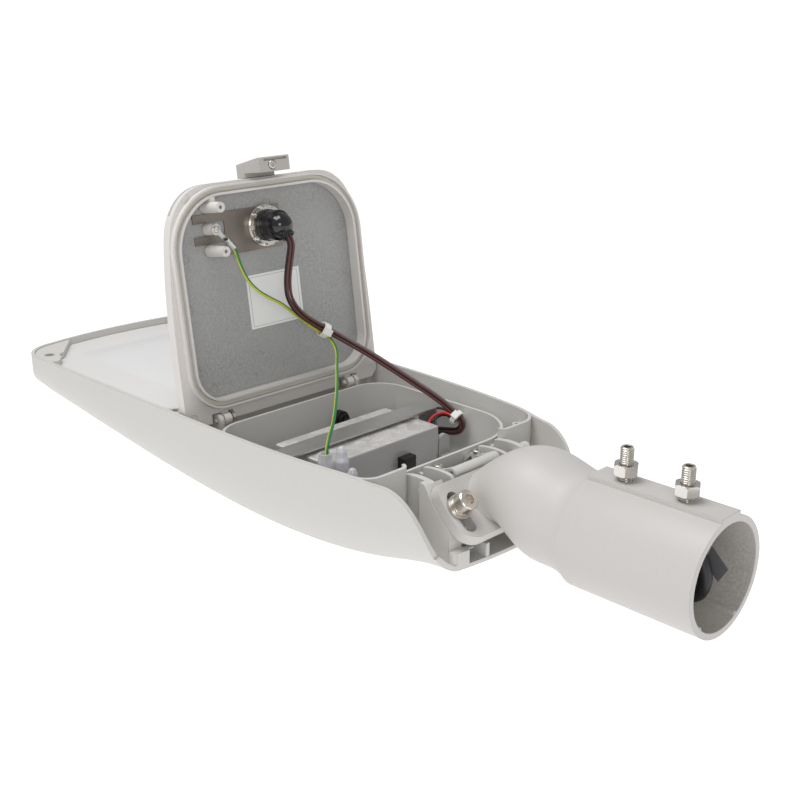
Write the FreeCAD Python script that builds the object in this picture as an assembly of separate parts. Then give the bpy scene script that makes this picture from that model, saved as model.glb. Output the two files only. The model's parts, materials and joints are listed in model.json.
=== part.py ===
import FreeCAD, Part
import math
import os

V = FreeCAD.Vector
X = V(1, 0, 0)
Y = V(0, 1, 0)
Z = V(0, 0, 1)

# Frame in mm: origin at the middle of the spigot mouth, X out of the mouth,
# Y across the lamp, Z to the glass side. The lamp lies on its back, cover open.

# spigot arm
BORE_R = 31.0
SPIGOT_R = 34.75
SPIGOT_L = 85.0
STRIP_W = 18.0
STRIP_TOP = 36.2
SADDLE_MID = V(-152.6696, 0, 1.388)
SADDLE_LEAN = 46.0
SADDLE_R = 78.7
lean = math.radians(SADDLE_LEAN)
PIVOT = SADDLE_MID + V(math.cos(lean), 0, math.sin(lean)) * SADDLE_R
SADDLE_T = 7.6
SADDLE_HALF = 48.5
SADDLE_FROM = 31.5
SADDLE_TO = 60.0
SEAT_GAP = 0.3
SEAT_FROM = 30.0
SEAT_TO = 59.0
PAD_SIDE = 49.0
WASHER_R = 8.0

# fixing of the arm
BOLT_ANGLE = 44.0
BOLT_Y = 39.4
BOLT_R = 4.0
SLOT_R = 4.5
TRAVEL_UP = 4.5
TRAVEL_DOWN = 9.0
SET_SCREWS = (-66.0, -27.0)
SET_SCREW_TIP = 31.4
SET_SCREW_TOP = 56.0
NUT_AF = 13.0

# housing shell: half width of the lamp, then stations of x, inset of the rim, keel z, width of the bilge
NOSE_HALF = 94.0
STATIONS = (
    (-592.0, 0.6, 4.0, 24.0),
    (-585.0, 0.6, -6.5, 27.0),
    (-573.0, 0.6, -12.5, 30.0),
    (-527.0, 0.6, -21.0, 32.0),
    (-457.0, 0.8, -31.5, 34.0),
    (-385.0, 1.2, -41.0, 36.0),
    (-318.0, 1.8, -46.0, 37.0),
    (-262.0, 4.2, -46.0, 36.0),
    (-202.0, 11.6, -40.5, 33.0),
    (-136.0, 18.4, -31.2, 27.0),
)
RIM = 22.3
WALL = 2.6
NOSE = -586.0
NOSE_SIDE = -573.8
NOSE_R = 30.0
STERN = -151.0
STERN_BOW = 10.0
WING_FROM = -182.0
WING_DROP = 40.5

# gear compartment
TUB_FRONT = -344.0
TUB_REAR = -200.0
TUB_HALF = NOSE_HALF - 12.7
TUB_R_FRONT = 26.0
TUB_R_REAR = 42.0
TUB_WALL = 2.2
TUB_TOP = 12.2
CORNER_X = -190.5
CORNER_Y = 43.6
CORNER_SIDE = NOSE_HALF - 11.4
CORNER_R = 16.0
CORNER_RETURN_R = 5.0

# lamp window
GLASS_TOP = 16.8
GLASS_T = 4.0
GLASS_REAR = -371.0
BULKHEAD = -372.0
LEDGE_TOP = 11.3
CLAMP_POST = (NOSE + 34.5, NOSE_HALF - 12.5)
TAB_POST = (BULKHEAD - 4.3, NOSE_HALF - 9.4)
BOARD_HALF = NOSE_HALF - 32.0

# cover and its hinge
HINGE = V(-356.0, 0, 12.5)
OPEN_ANGLE = 97.5
PIN_R = 2.0
PIN_FIT = 0.05
COVER_END = TUB_REAR + 3.5
COVER_OUT = 9.8
COVER_SKIN = 3.5
RIDGE = 3.0
SOCKET_V = 126.0
BOOT_D = 11.5
CATCH_SCREW_X = TUB_REAR + 9.0

COVER_CLEAR = COVER_END + 0.9
RIDGE_FOOT = HINGE.z - RIDGE
BOSS_U = -48.4
BOSS_V = (144.2, 129.4, 114.8)
LUG_TURN = 40.0

# pitch radius of the five conductors in their bundle, and their diameter
BUNDLE_R = 1.9
CORE_D = 1.9
EARTH_D = 2.4
MAINS_D = 3.0
LED_D = 4.0

# the harness tie and the wall tie, with the direction of the wires in each
TIE_IN = (24.0, 51.0, 12.0)
TIE_OUT = (35.2, 43.2, 14.6)
WALL_TIE = V(-257.3, 73.0, 6.2)
WALL_RUN = V(0.85, 0.12, -0.51).normalize()

# glands of the lamp lead and of the mains cable: y and z of each axis
LEAD_GLAND = (36.0, -7.6)
MAINS_ENTRY = (-4.0, -14.0)

# share of the radius that a Bezier handle takes on a quarter ellipse
HANDLE = 0.5523

EARTH_CAP = (-252.5, -57.0)
DRIVER = (-310.0, -256.0, -52.0, 52.0, -20.0, 5.0)
STRAP_HALF = TUB_HALF - 9.8
STRAP_SCREW = (-285.0, STRAP_HALF - 5.0)


def box(x0, x1, y0, y1, z0, z1):
    return Part.makeBox(x1 - x0, y1 - y0, z1 - z0, V(x0, y0, z0))


def rod(foot, axis, r, length):
    return Part.makeCylinder(r, length, foot, axis)


def ring(foot, axis, r_out, r_in, length):
    return rod(foot, axis, r_out, length).cut(rod(foot, axis, r_in, length))


def turned(shape, point, axis, angle):
    out = shape.copy()
    out.rotate(point, axis, angle)
    return out


def moved(shape, x, y, z):
    out = shape.copy()
    out.translate(V(x, y, z))
    return out


def mirrored(shape):
    return shape.mirror(V(0, 0, 0), Y)


def both(shape):
    return Part.makeCompound([shape, mirrored(shape)])


def joined(first, *others):
    shapes = []
    for other in others:
        shapes.extend(other.Solids)
    return first.fuse(shapes).removeSplitter()


def prism(points, direction):
    wire = Part.makePolygon(points + [points[0]])
    return Part.Face(wire).extrude(direction)


def hexagon(foot, axis, across, length):
    # regular hexagon prism standing on foot along axis
    r = across / math.sqrt(3)
    points = [V(r * math.cos(k * math.pi / 3), r * math.sin(k * math.pi / 3), 0) for k in range(6)]
    solid = prism(points, V(0, 0, length))
    solid.rotate(V(0, 0, 0), Z.cross(axis) if Z.cross(axis).Length > 1e-6 else X,
                 math.degrees(Z.getAngle(axis)))
    solid.translate(foot)
    return solid


def rounded_plan(x0, x1, half, r0, r1, z0, z1):
    # plate with corner radius r0 at the x0 end and r1 at the x1 end
    solid = box(x0, x1, -half, half, z0, z1)
    corners = {x0: r0, x1: r1}
    for x, r in corners.items():
        edges = [e for e in solid.Edges
                 if abs(e.BoundBox.XMin - x) < 1e-6 and e.BoundBox.ZLength > z1 - z0 - 1e-6
                 and e.BoundBox.XLength < 1e-6 and e.BoundBox.YLength < 1e-6]
        if r > 0:
            solid = solid.makeFillet(r, edges)
    return solid


def turned_profile(points):
    # solid of revolution about Z from (radius, height) points that start and end on the axis
    line = [V(r, 0, z) for r, z in points]
    wire = Part.makePolygon(line + [line[0]])
    return Part.Face(wire).revolve(V(0, 0, 0), Z, 360)


def on_saddle(angle, radius, y=0.0):
    # point on a circle about the tilt pivot, angle below the forward direction
    a = math.radians(angle)
    return V(PIVOT.x - radius * math.cos(a), y, PIVOT.z - radius * math.sin(a))


def saddle_sector(r0, r1, a0, a1, y0, y1):
    # curved plate between two radii about the tilt pivot
    mid = (a0 + a1) / 2
    outer = Part.Arc(on_saddle(a0, r1, y0), on_saddle(mid, r1, y0), on_saddle(a1, r1, y0))
    inner = Part.Arc(on_saddle(a1, r0, y0), on_saddle(mid, r0, y0), on_saddle(a0, r0, y0))
    wire = Part.Wire([
        outer.toShape(),
        Part.makeLine(on_saddle(a1, r1, y0), on_saddle(a1, r0, y0)),
        inner.toShape(),
        Part.makeLine(on_saddle(a0, r0, y0), on_saddle(a0, r1, y0)),
    ])
    return Part.Face(wire).extrude(V(0, y1 - y0, 0))


def section(x, z, tilt, half, up, down, power):
    # closed curve of a neck section: tilt leans its top forwards
    t = math.radians(tilt)
    rise = V(-math.sin(t), 0, math.cos(t))
    points = []
    for k in range(16):
        a = 2 * math.pi * k / 16
        c = math.cos(a)
        s = math.sin(a)
        across = half * math.copysign(abs(c) ** (2 / power), c)
        height = (up if s > 0 else down) * math.copysign(abs(s) ** (2 / power), s)
        points.append(V(x, 0, z) + Y * across + rise * height)
    curve = Part.BSplineCurve()
    curve.interpolate(Points=points, PeriodicFlag=True)
    return Part.Wire(curve.toShape())


def saddle_plate():
    plate = saddle_sector(SADDLE_R, SADDLE_R + SADDLE_T, SADDLE_FROM, SADDLE_TO,
                          -SADDLE_HALF, SADDLE_HALF)
    for angle, r in ((SADDLE_FROM, 8.0), (SADDLE_TO, 13.0)):
        end = on_saddle(angle, SADDLE_R + SADDLE_T / 2)
        edges = [e for e in plate.Edges
                 if abs(e.Length - SADDLE_T) < 1e-3
                 and (V(e.CenterOfMass.x, 0, e.CenterOfMass.z) - end).Length < 0.5]
        plate = plate.makeFillet(r, edges)
    return plate


def spigot_arm():
    mouth = section(0, 0, 0, SPIGOT_R, SPIGOT_R, SPIGOT_R, 2.0)
    root = section(-SPIGOT_L, 0, 0, SPIGOT_R, SPIGOT_R, SPIGOT_R, 2.0)
    tube = Part.makeLoft([mouth, root], True, True)
    neck = Part.makeLoft([
        root,
        section(-112.0, 3.6, 3, 33.2, 33.0, 32.0, 2.1),
        section(-138.0, 5.5, 20, 28.5, 27.0, 24.0, 2.3),
        section(-151.5, 1.7, 42, 26.5, 20.5, 17.5, 2.6),
        section(-157.5, -3.5, 46, 30.0, 20.0, 18.5, 3.0),
    ], True, False)
    neck = neck.common(rod(PIVOT - Y * 60, Y, SADDLE_R + SADDLE_T - 1.5, 120))
    strip = box(-SPIGOT_L, 0, -STRIP_W / 2, STRIP_W / 2, SPIGOT_R - 5, STRIP_TOP)
    arm = neck.fuse(saddle_plate()).fuse(tube).fuse(strip)
    arm = arm.cut(rod(V(-SPIGOT_L, 0, 0), X, BORE_R, SPIGOT_L + 1))
    passage = Part.makeLoft([
        section(-SPIGOT_L + 2, 0, 0, 27.0, 27.0, 27.0, 2.0),
        section(-112.0, 3.1, 3, 26.5, 26.5, 25.5, 2.1),
        section(-138.0, 4.5, 20, 21.5, 20.5, 17.5, 2.3),
        section(-151.5, 0.7, 42, 19.0, 14.5, 12.5, 2.6),
        section(-166.0, -13.0, 45, 18.0, 14.0, 12.0, 2.6),
    ], True, False)
    arm = arm.cut(passage)
    for side in (-1, 1):
        y = side * BOLT_Y
        slot = [saddle_sector(SADDLE_R - 3, SADDLE_R + SADDLE_T + 3,
                              BOLT_ANGLE - TRAVEL_UP, BOLT_ANGLE + TRAVEL_DOWN,
                              y - SLOT_R, y + SLOT_R)]
        for angle in (BOLT_ANGLE - TRAVEL_UP, BOLT_ANGLE + TRAVEL_DOWN):
            foot = on_saddle(angle, SADDLE_R - 3, y)
            slot.append(rod(foot, foot - V(PIVOT.x, y, PIVOT.z), SLOT_R, SADDLE_T + 6))
        arm = arm.cut(slot)
    return arm.cut([rod(V(x, 0, BORE_R - 2), Z, BOLT_R, 10) for x in SET_SCREWS])


def set_screws():
    out = []
    for x in SET_SCREWS:
        screw = rod(V(x, 0, SET_SCREW_TIP), Z, BOLT_R - 0.05, SET_SCREW_TOP - SET_SCREW_TIP)
        screw = screw.makeChamfer(0.8, [e for e in screw.Edges if e.Curve.TypeId == "Part::GeomCircle"])
        out.append(screw.cut(hexagon(V(x, 0, SET_SCREW_TOP - 4.5), Z, 4.0, 6)))
    return Part.makeCompound(out)


def set_screw_nuts():
    out = []
    for x in SET_SCREWS:
        z = STRIP_TOP + 3.4
        nut = hexagon(V(x, 0, z), Z, NUT_AF, 6.5)
        cone = Part.makeCone(NUT_AF / 2 + 7.3, NUT_AF / 2 + 0.3, 7.0, V(x, 0, z - 0.5), Z)
        flare = Part.makeCone(NUT_AF / 2 + 0.3, NUT_AF / 2 + 7.3, 7.0, V(x, 0, z), Z)
        nut = nut.common(cone).common(flare)
        out.append(nut.cut(rod(V(x, 0, z - 1), Z, BOLT_R, 9)))
    return Part.makeCompound(out)


def tilt_bolt_parts():
    # socket head bolts along the radius through the slots
    bolts = []
    springs = []
    washers = []
    for side in (-1, 1):
        y = side * BOLT_Y
        out = (V(PIVOT.x, y, PIVOT.z) - on_saddle(BOLT_ANGLE, 1.0, y)).normalize()
        # the flat washer stands on its two edges inside the curved flange
        sag = WASHER_R ** 2 / (2 * SADDLE_R)
        face = on_saddle(BOLT_ANGLE, SADDLE_R - sag - SEAT_GAP, y)
        washers.append(ring(face, out, WASHER_R, BOLT_R + 0.2, 1.5))
        lock = ring(face + out * 1.55, out, 6.9, BOLT_R + 0.15, 2.0)
        split = box(0, 9, -0.6, 0.6, -0.5, 2.5)
        split.rotate(V(0, 0, 0), Y, 90 - BOLT_ANGLE)
        split.translate(face + out * 1.55)
        springs.append(lock.cut(split))
        head = rod(face + out * 3.6, out, 6.5, 8.0)
        rim = [e for e in head.Edges if e.Curve.TypeId == "Part::GeomCircle"
               and (e.CenterOfMass - face - out * 11.6).Length < 0.1]
        head = head.makeChamfer(0.7, rim)
        shank = rod(face - out * 22, out, BOLT_R - 0.05, 26)
        bolt = head.fuse(shank).cut(hexagon(face + out * 7.6, out, 6.0, 5))
        bolts.append(bolt.removeSplitter())
    return Part.makeCompound(bolts), Part.makeCompound(springs), Part.makeCompound(washers)


def hull_section(x, narrowing, keel, bilge, inset):
    # boat-like section: upright sides, elliptic bilge, flat keel
    top = RIM + 3
    depth = top - keel - inset
    half = NOSE_HALF - narrowing - inset
    flat = half - bilge
    wires = []
    for s in (1, -1):
        curve = Part.BezierCurve()
        poles = [V(x, s * half, top), V(x, s * half, top - HANDLE * depth),
                 V(x, s * (flat + HANDLE * bilge), keel + inset), V(x, s * flat, keel + inset)]
        curve.setPoles(poles if s > 0 else poles[::-1])
        wires.append(curve.toShape())
    deck = Part.makeLine(V(x, -half, top), V(x, half, top))
    bottom = Part.makeLine(V(x, flat, keel + inset), V(x, -flat, keel + inset))
    return Part.Wire([deck, wires[0], bottom, wires[1]])


def hull_loft(inset):
    return Part.makeLoft([hull_section(*row, inset) for row in STATIONS], True, False)


def nose_plan(inset, z0, z1, rear=-120.0):
    # plan of the lamp: bowed nose with round corners
    side = NOSE_HALF - inset
    corner = NOSE_SIDE + inset
    arc = Part.Arc(V(corner, -side, z0), V(NOSE + inset, 0, z0), V(corner, side, z0))
    wire = Part.Wire([
        arc.toShape(),
        Part.makeLine(V(corner, side, z0), V(rear, side, z0)),
        Part.makeLine(V(rear, side, z0), V(rear, -side, z0)),
        Part.makeLine(V(rear, -side, z0), V(corner, -side, z0)),
    ])
    solid = Part.Face(wire).extrude(V(0, 0, z1 - z0))
    edges = [e for e in solid.Edges if e.BoundBox.ZLength > z1 - z0 - 1e-6
             and abs(e.CenterOfMass.x - corner) < 1e-3]
    return solid.makeFillet(NOSE_R - inset, edges)


def side_profile():
    # side view of the shell: level rim, then the wings round down to the stern
    a = STERN - WING_FROM
    top = RIM - 2.0
    curve = Part.BezierCurve()
    curve.setPoles([V(WING_FROM, -150, top), V(WING_FROM + HANDLE * a, -150, top),
                    V(STERN, -150, top - (1 - HANDLE) * WING_DROP), V(STERN, -150, top - WING_DROP)])
    ease = Part.BezierCurve()
    ease.setPoles([V(-212, -150, RIM), V(-202, -150, RIM), V(-194, -150, top), V(WING_FROM, -150, top)])
    wire = Part.Wire([
        Part.makeLine(V(-620, -150, RIM), V(-212, -150, RIM)),
        ease.toShape(),
        curve.toShape(),
        Part.makeLine(V(STERN, -150, top - WING_DROP), V(STERN + STERN_BOW, -150, top - WING_DROP)),
        Part.makeLine(V(STERN + STERN_BOW, -150, top - WING_DROP), V(STERN + STERN_BOW, -150, -90)),
        Part.makeLine(V(STERN + STERN_BOW, -150, -90), V(-620, -150, -90)),
        Part.makeLine(V(-620, -150, -90), V(-620, -150, RIM)),
    ])
    side = Part.Face(wire).extrude(V(0, 300, 0))
    # the floor bows out at the stern to carry the seat of the arm
    reach = NOSE_HALF - 24.0
    bow = Part.Arc(V(STERN, reach, -95), V(STERN + STERN_BOW, 0, -95), V(STERN, -reach, -95))
    plan = Part.Wire([
        bow.toShape(),
        Part.makeLine(V(STERN, -reach, -95), V(STERN, -150, -95)),
        Part.makeLine(V(STERN, -150, -95), V(-630, -150, -95)),
        Part.makeLine(V(-630, -150, -95), V(-630, 150, -95)),
        Part.makeLine(V(-630, 150, -95), V(STERN, 150, -95)),
        Part.makeLine(V(STERN, 150, -95), V(STERN, reach, -95)),
    ])
    return side.common(Part.Face(plan).extrude(V(0, 0, 130)))


def tub_plan(inset, z0, z1):
    return rounded_plan(TUB_FRONT - TUB_WALL + inset, TUB_REAR - inset, TUB_HALF - inset,
                        TUB_R_FRONT - inset, TUB_R_REAR - inset, z0, z1)


def tub_wall():
    # sealing rim of the gear compartment and its rear corner walls up to the rim
    tub = tub_plan(0, -60, TUB_TOP)
    wall = tub.cut(tub_plan(TUB_WALL, -70, TUB_TOP + 10))
    high = []
    for inset in (0, TUB_WALL):
        plate = box(-236 - inset * 10, CORNER_X - inset, CORNER_Y + inset, CORNER_SIDE - inset,
                    -60 - inset, RIM + inset)
        for y, r in ((CORNER_SIDE - inset, CORNER_R), (CORNER_Y + inset, CORNER_RETURN_R)):
            edge = [e for e in plate.Edges if e.BoundBox.ZLength > 70
                    and (V(e.CenterOfMass.x, e.CenterOfMass.y, 0) - V(CORNER_X - inset, y, 0)).Length < 0.1]
            plate = plate.makeFillet(r - inset, edge)
        high.append(plate)
    inner = high[1].fuse(box(-290, -207, CORNER_Y + TUB_WALL, 110, -70, RIM + 9))
    corner = high[0].cut(inner).cut(tub_plan(0, -70, RIM + 9))
    # the return wall stays below the ridge of the closed cover
    corner = corner.cut(box(TUB_REAR - 3, COVER_CLEAR, 40, 50, RIDGE_FOOT - 0.5, RIM + 9))
    foot = V(CORNER_X - 15.7, CORNER_SIDE - 5.8, 0)
    pillar = rod(foot - Z * 60, Z, 3.7, 72.8).cut(rod(foot, Z, 1.5, 20))
    side = joined(corner, pillar)
    return joined(wall, side, mirrored(side))


def seat_rib(y0, y1, front, height, crest):
    # upright rib from front to the curved seat, with a bowed crest
    r = SADDLE_R + SADDLE_T + SEAT_GAP
    top = on_saddle(SEAT_FROM, r, y0)
    low = on_saddle(SEAT_TO, r, y0)
    crown = Part.Arc(V(front, y0, height), V((front + top.x) / 2, y0, crest), top)
    seat = Part.Arc(top, on_saddle(BOLT_ANGLE, r, y0), low)
    wire = Part.Wire([
        crown.toShape(),
        seat.toShape(),
        Part.makeLine(low, V(low.x, y0, -60)),
        Part.makeLine(V(low.x, y0, -60), V(front, y0, -60)),
        Part.makeLine(V(front, y0, -60), V(front, y0, height)),
    ])
    return Part.Face(wire).extrude(V(0, y1 - y0, 0))


def arm_seat():
    # two bearing pads with bolt bosses, carried on ribs and on an upright outer block
    r = SADDLE_R + SADDLE_T + SEAT_GAP
    pad = saddle_sector(r, r + 7.0, SEAT_FROM, SEAT_TO - 0.5, 34.0, PAD_SIDE)
    boss = rod(on_saddle(BOLT_ANGLE, r, BOLT_Y), on_saddle(BOLT_ANGLE, 1, 0) - PIVOT, 8.5, 24.0)
    edge = on_saddle(SEAT_FROM, r)
    block = seat_rib(PAD_SIDE - 5.0, PAD_SIDE, edge.x - 4.5, edge.z + 0.8, edge.z + 1.0)
    post = rod(V(on_saddle(SEAT_TO, r).x - 7.0, PAD_SIDE - 1.5, -60), Z, 3.6, 46)
    side = joined(pad, boss, block, post, seat_rib(40.0, 44.0, TUB_REAR - 1, TUB_TOP, 15.4),
                  seat_rib(24.0, 27.0, TUB_REAR - 1, TUB_TOP, 15.2))
    side = side.cut(box(TUB_REAR - 3, COVER_CLEAR, 20, 50, RIDGE_FOOT - 0.5, 40))
    bore = rod(on_saddle(BOLT_ANGLE, r - 5, BOLT_Y), on_saddle(BOLT_ANGLE, 1, 0) - PIVOT, BOLT_R, 27.5)
    side = side.cut(bore)
    return [side, mirrored(side)]


def hinge_lug(y):
    lug = box(HINGE.x - 4.4, HINGE.x + 4.4, y, y + 3.4, -12, HINGE.z)
    eye = rod(V(HINGE.x, y, HINGE.z), Y, 4.4, 3.4)
    return joined(lug, eye).cut(rod(V(HINGE.x, y - 1, HINGE.z), Y, PIN_R + PIN_FIT, 6))


def housing():
    hull = hull_loft(0).common(nose_plan(0, -80, 60)).common(side_profile())
    hollow = hull_loft(WALL).common(nose_plan(WALL, -80, 60))
    shell = hull.cut(hollow)
    inside = hull_loft(WALL / 2).common(nose_plan(WALL / 2, -80, 60)).common(side_profile())
    extras = [tub_wall()] + arm_seat()
    # bulkhead behind the glass and the floor of the hinge trough
    extras.append(box(BULKHEAD, BULKHEAD + 2.6, -95, 95, -60, LEDGE_TOP + 0.8))
    extras.append(box(BULKHEAD + 1, TUB_FRONT - 1, -95, 95, -12, -9.4))
    # ledge under the glass
    ledge = nose_plan(WALL / 2, 8.0, LEDGE_TOP).cut(nose_plan(11.0, 0, 20, BULKHEAD - 8))
    ledge = ledge.common(box(-600, BULKHEAD + 1, -100, 100, 0, 20))
    extras.append(ledge)
    # posts for the corner clamps and the rear glass tabs
    for x, y, r in ((*CLAMP_POST, 5.0), (*TAB_POST, 4.0)):
        post = rod(V(x, y, -30), Z, r, 30 + 16.9).cut(rod(V(x, y, 6), Z, 1.7, 20))
        extras.extend([post, mirrored(post)])
    # fins under the lamp board
    for y in (-52, -18, 16, 50):
        extras.append(box(-580, BULKHEAD + 1, y, y + 2.4, -60, -2.3))
    # seats of the driver, of the strap and of the hinge pins
    x0, x1, y0, y1, z0, z1 = DRIVER
    for y in (y0 - 11.5, y1 - 5.5):
        extras.append(box(x0 + 8, x1 + 12, y, y + 17, -60, z0))
    for s in (1, -1):
        extras.append(rod(V(STRAP_SCREW[0], s * STRAP_SCREW[1], -60), Z, 4.6, 60 - 12.0))
    for y in (61.6, -65.0):
        extras.append(hinge_lug(y))
    for y in (18.0, -18.0):
        extras.append(rod(V(CATCH_SCREW_X, y, -60), Z, 3.2, 69.3).cut(
            rod(V(CATCH_SCREW_X, y, 2), Z, 1.6, 10)))
    body = shell
    for extra in extras:
        body = body.fuse(extra.common(inside))
    # lead gland, mains entry and screw holes
    tools = [rod(V(x, s * y, 2), Z, 1.65, 20) for x, y in (CLAMP_POST, TAB_POST) for s in (1, -1)]
    tools += [rod(V(TUB_FRONT - 6, *LEAD_GLAND), X, 4.05, 12), rod(V(TUB_REAR - 6, *MAINS_ENTRY), X, 8.05, 12)]
    for y in (DRIVER[2] - 5.5, DRIVER[3] + 5.5):
        tools.append(rod(V(-262.0, y, DRIVER[4] - 8), Z, 1.6, 12))
    for s in (1, -1):
        tools.append(rod(V(STRAP_SCREW[0], s * STRAP_SCREW[1], -24), Z, 1.6, 14))
    return body.cut(tools)


def lamp_window():
    # glass with cut corners, its gasket, lamp board and lens plate
    parts = {}
    wide = NOSE_HALF + 26
    cuts = [prism([V(NOSE - 14, s * (NOSE_HALF - 58), 0), V(NOSE + 54, s * (NOSE_HALF - 9.5), 0),
                   V(NOSE + 54, s * wide, 0), V(NOSE - 14, s * wide, 0)], V(0, 0, 40)) for s in (1, -1)]
    well = hull_loft(WALL + 0.3)
    glass = nose_plan(WALL + 0.5, GLASS_TOP - GLASS_T, GLASS_TOP, GLASS_REAR).common(well)
    x, y = TAB_POST
    notch = [rod(V(x, s * y, 0), Z, 5.2, 40) for s in (1, -1)]
    parts["glass_panel"] = glass.cut(cuts + notch)
    seal = nose_plan(WALL + 1.6, LEDGE_TOP + 0.1, GLASS_TOP - GLASS_T - 0.1, GLASS_REAR - 5)
    seal = seal.cut([moved(c, 1.5, 0, 0) for c in cuts])
    inner = nose_plan(WALL + 6.4, 0, 40, GLASS_REAR - 11)
    seal = seal.common(hull_loft(WALL + 1.2)).cut(notch)
    parts["glass_gasket"] = seal.cut(inner.cut([moved(c, 9, 0, 0) for c in cuts]))
    parts["led_carrier"] = rounded_plan(NOSE + 16, BULKHEAD - 12, BOARD_HALF + 12, 20, 4, -2.2, 0.6)
    parts["led_board"] = rounded_plan(NOSE + 26, BULKHEAD - 18, BOARD_HALF, 4, 4, 0.7, 2.3)
    plate = rounded_plan(NOSE + 23, BULKHEAD - 16, BOARD_HALF + 1, 5, 5, 2.4, 8.6)
    rows = [(BOARD_HALF - 6) / 4 * k for k in (-3, -1, 1, 3)]
    parts["lens_plate"] = plate.cut([rod(V(NOSE + 35 + 21.5 * i, y, 5.4), Z, 5.2, 4)
                                     for i in range(8) for y in rows])
    # corner clamps and rear tabs, each with a countersunk screw
    region = nose_plan(WALL + 0.3, GLASS_TOP + 0.2, RIM - 0.7, -500)
    corner = prism([V(NOSE - 14, 62.5 - NOSE_HALF, 0), V(NOSE + 53.5, 10.5 - NOSE_HALF, 0),
                    V(NOSE + 53.5, -wide, 0), V(NOSE - 14, -wide, 0)], V(0, 0, 40))
    clamp = region.common(corner).common(well).cut(rod(V(NOSE + 43, 24.5 - NOSE_HALF, 0), Z, 7.0, 40))
    x, y = CLAMP_POST
    seat = V(x, -y, RIM - 0.7)
    screw = countersunk(seat, 3.9)
    parts["corner_clamps"] = both(clamp.cut(countersunk_hole(seat, 3.9)))
    x, y = TAB_POST
    seat = V(x, -y, GLASS_TOP + 3.4)
    tab = rod(V(x, -y, GLASS_TOP + 0.2), Z, 5.0, 3.2)
    tab = joined(tab, box(x - 7.7, x + 6.8, -y - 5, -y, GLASS_TOP + 0.2, seat.z))
    parts["glass_tabs"] = both(tab.cut(countersunk_hole(seat, 3.6)).common(well))
    small = countersunk(seat, 3.6)
    parts["window_screws"] = Part.makeCompound([screw, mirrored(screw), small, mirrored(small)])
    return parts


def countersunk(top, r):
    head = Part.makeCone(1.6, r, 2.2, top - Z * 2.2, Z)
    screw = head.fuse(rod(top - Z * 10, Z, 1.6, 8.5)).removeSplitter()
    slots = [box(-2.2, 2.2, -0.45, 0.45, 0, 2), box(-0.45, 0.45, -2.2, 2.2, 0, 2)]
    return screw.cut([moved(s, top.x, top.y, top.z - 1.1) for s in slots])


def countersunk_hole(top, r):
    cone = Part.makeCone(1.7, r + 0.1, 2.2, top - Z * 2.2, Z)
    return cone.fuse(rod(top - Z * 10, Z, 1.7, 9)).fuse(rod(top, Z, r + 0.1, 3))


def pan_screw(seat, axis, r, head, length):
    cap = rod(seat, axis, r * 1.9, head)
    rim = [e for e in cap.Edges if e.Curve.TypeId == "Part::GeomCircle"
           and (e.CenterOfMass - seat - axis * head).Length < 0.05]
    cap = cap.makeFillet(head * 0.45, rim)
    screw = cap.fuse(rod(seat - axis * length, axis, r, length + 0.2))
    for turn in (0, 90):
        slot = box(-r, r, -0.4, 0.4, head - 0.9, head + 1)
        slot.rotate(V(0, 0, 0), Z, turn)
        spin = Z.cross(axis) if Z.cross(axis).Length > 1e-6 else X
        slot.rotate(V(0, 0, 0), spin, math.degrees(Z.getAngle(axis)))
        slot.translate(seat)
        screw = screw.cut(slot)
    return screw


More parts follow.
